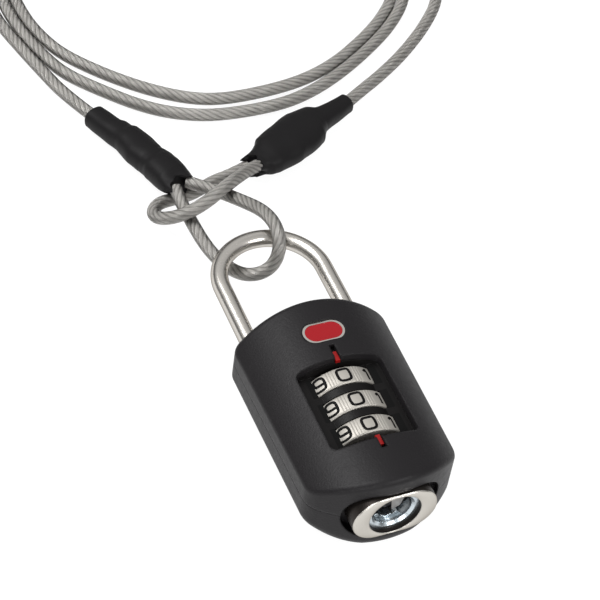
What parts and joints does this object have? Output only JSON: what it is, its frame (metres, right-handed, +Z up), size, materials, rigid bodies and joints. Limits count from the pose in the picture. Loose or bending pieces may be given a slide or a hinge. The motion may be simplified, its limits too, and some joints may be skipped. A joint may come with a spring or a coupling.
{
  "type": "cable luggage lock",
  "caption": "Combination luggage lock with number dials, a keyed override in its foot and a coiled steel cable looped through the shackle.",
  "frame": {"origin": "under the middle of the lock, without its cable, on the surface it lies on", "axes": "+Z up through the number window, +Y from the key end towards the shackle, +X to the right as the digits read"},
  "size_m": [0.108, 0.2238, 0.02],
  "materials": {
    "case_black": "fine satin texture",
    "frame_black": "matte",
    "mark_red": "gloss paint",
    "nickel": "polished nickel plate",
    "nickel_satin": "satin nickel plate",
    "zinc": "bright zinc plate",
    "brass": "bare stamped brass",
    "spring_steel": "bare",
    "coated_cable": "twisted strands in a clear coat",
    "crimp": "pressed",
    "shrink_black": "matte heat-shrunk",
    "badge_red": "gloss enamel"
  },
  "bodies": {
    "case": {"case_front": "case_black", "case_back": "case_black", "window_frame": "frame_black", "index_marks": "mark_red", "badge_rim": "nickel", "badge_inlay": "badge_red", "chassis": "zinc", "spindle": "spring_steel", "detent_spring": "spring_steel", "latch_bolts": "zinc", "latch_spring": "spring_steel", "shackle_spring": "spring_steel", "key_plate": "nickel_satin", "cylinder_ring": "zinc", "cylinder_housing": "zinc", "case_screws": "spring_steel"},
    "dial_top": {"dial_1": "nickel_satin", "dial_sleeve_1": "brass"},
    "dial_middle": {"dial_2": "nickel_satin", "dial_sleeve_2": "brass"},
    "dial_bottom": {"dial_3": "nickel_satin", "dial_sleeve_3": "brass"},
    "shackle_and_cable": {"shackle": "nickel", "leg_retainer": "spring_steel", "cable_coil": "coated_cable", "cable_lead_left": "coated_cable", "cable_lead_right": "coated_cable", "cable_loop_left": "coated_cable", "cable_loop_right": "coated_cable", "ferrule_left": "crimp", "ferrule_right": "crimp", "sleeve_left": "shrink_black", "sleeve_right": "shrink_black"},
    "key_cylinder": {"key_plug": "zinc", "wafers": "brass", "tail_cam": "spring_steel", "retaining_clip": "spring_steel"}
  },
  "joints": [
    {"name": "shackle_slide", "type": "slide", "parent": "case", "child": "shackle_and_cable", "axis": [0, 1, 0], "range_m": [0, 0.01]},
    {"name": "dial_1_turn", "type": "hinge", "parent": "case", "child": "dial_top", "pos_m": [0, -0.0098, 0.0103], "axis": [0, 1, 0], "continuous": true},
    {"name": "dial_2_turn", "type": "hinge", "parent": "case", "child": "dial_middle", "pos_m": [0, -0.0159, 0.0103], "axis": [0, 1, 0], "continuous": true},
    {"name": "dial_3_turn", "type": "hinge", "parent": "case", "child": "dial_bottom", "pos_m": [0, -0.022, 0.0103], "axis": [0, 1, 0], "continuous": true},
    {"name": "key_turn", "type": "hinge", "parent": "case", "child": "key_cylinder", "pos_m": [0, -0.031, 0.01], "axis": [0, 1, 0], "range_deg": [0, 90]}
  ]
}
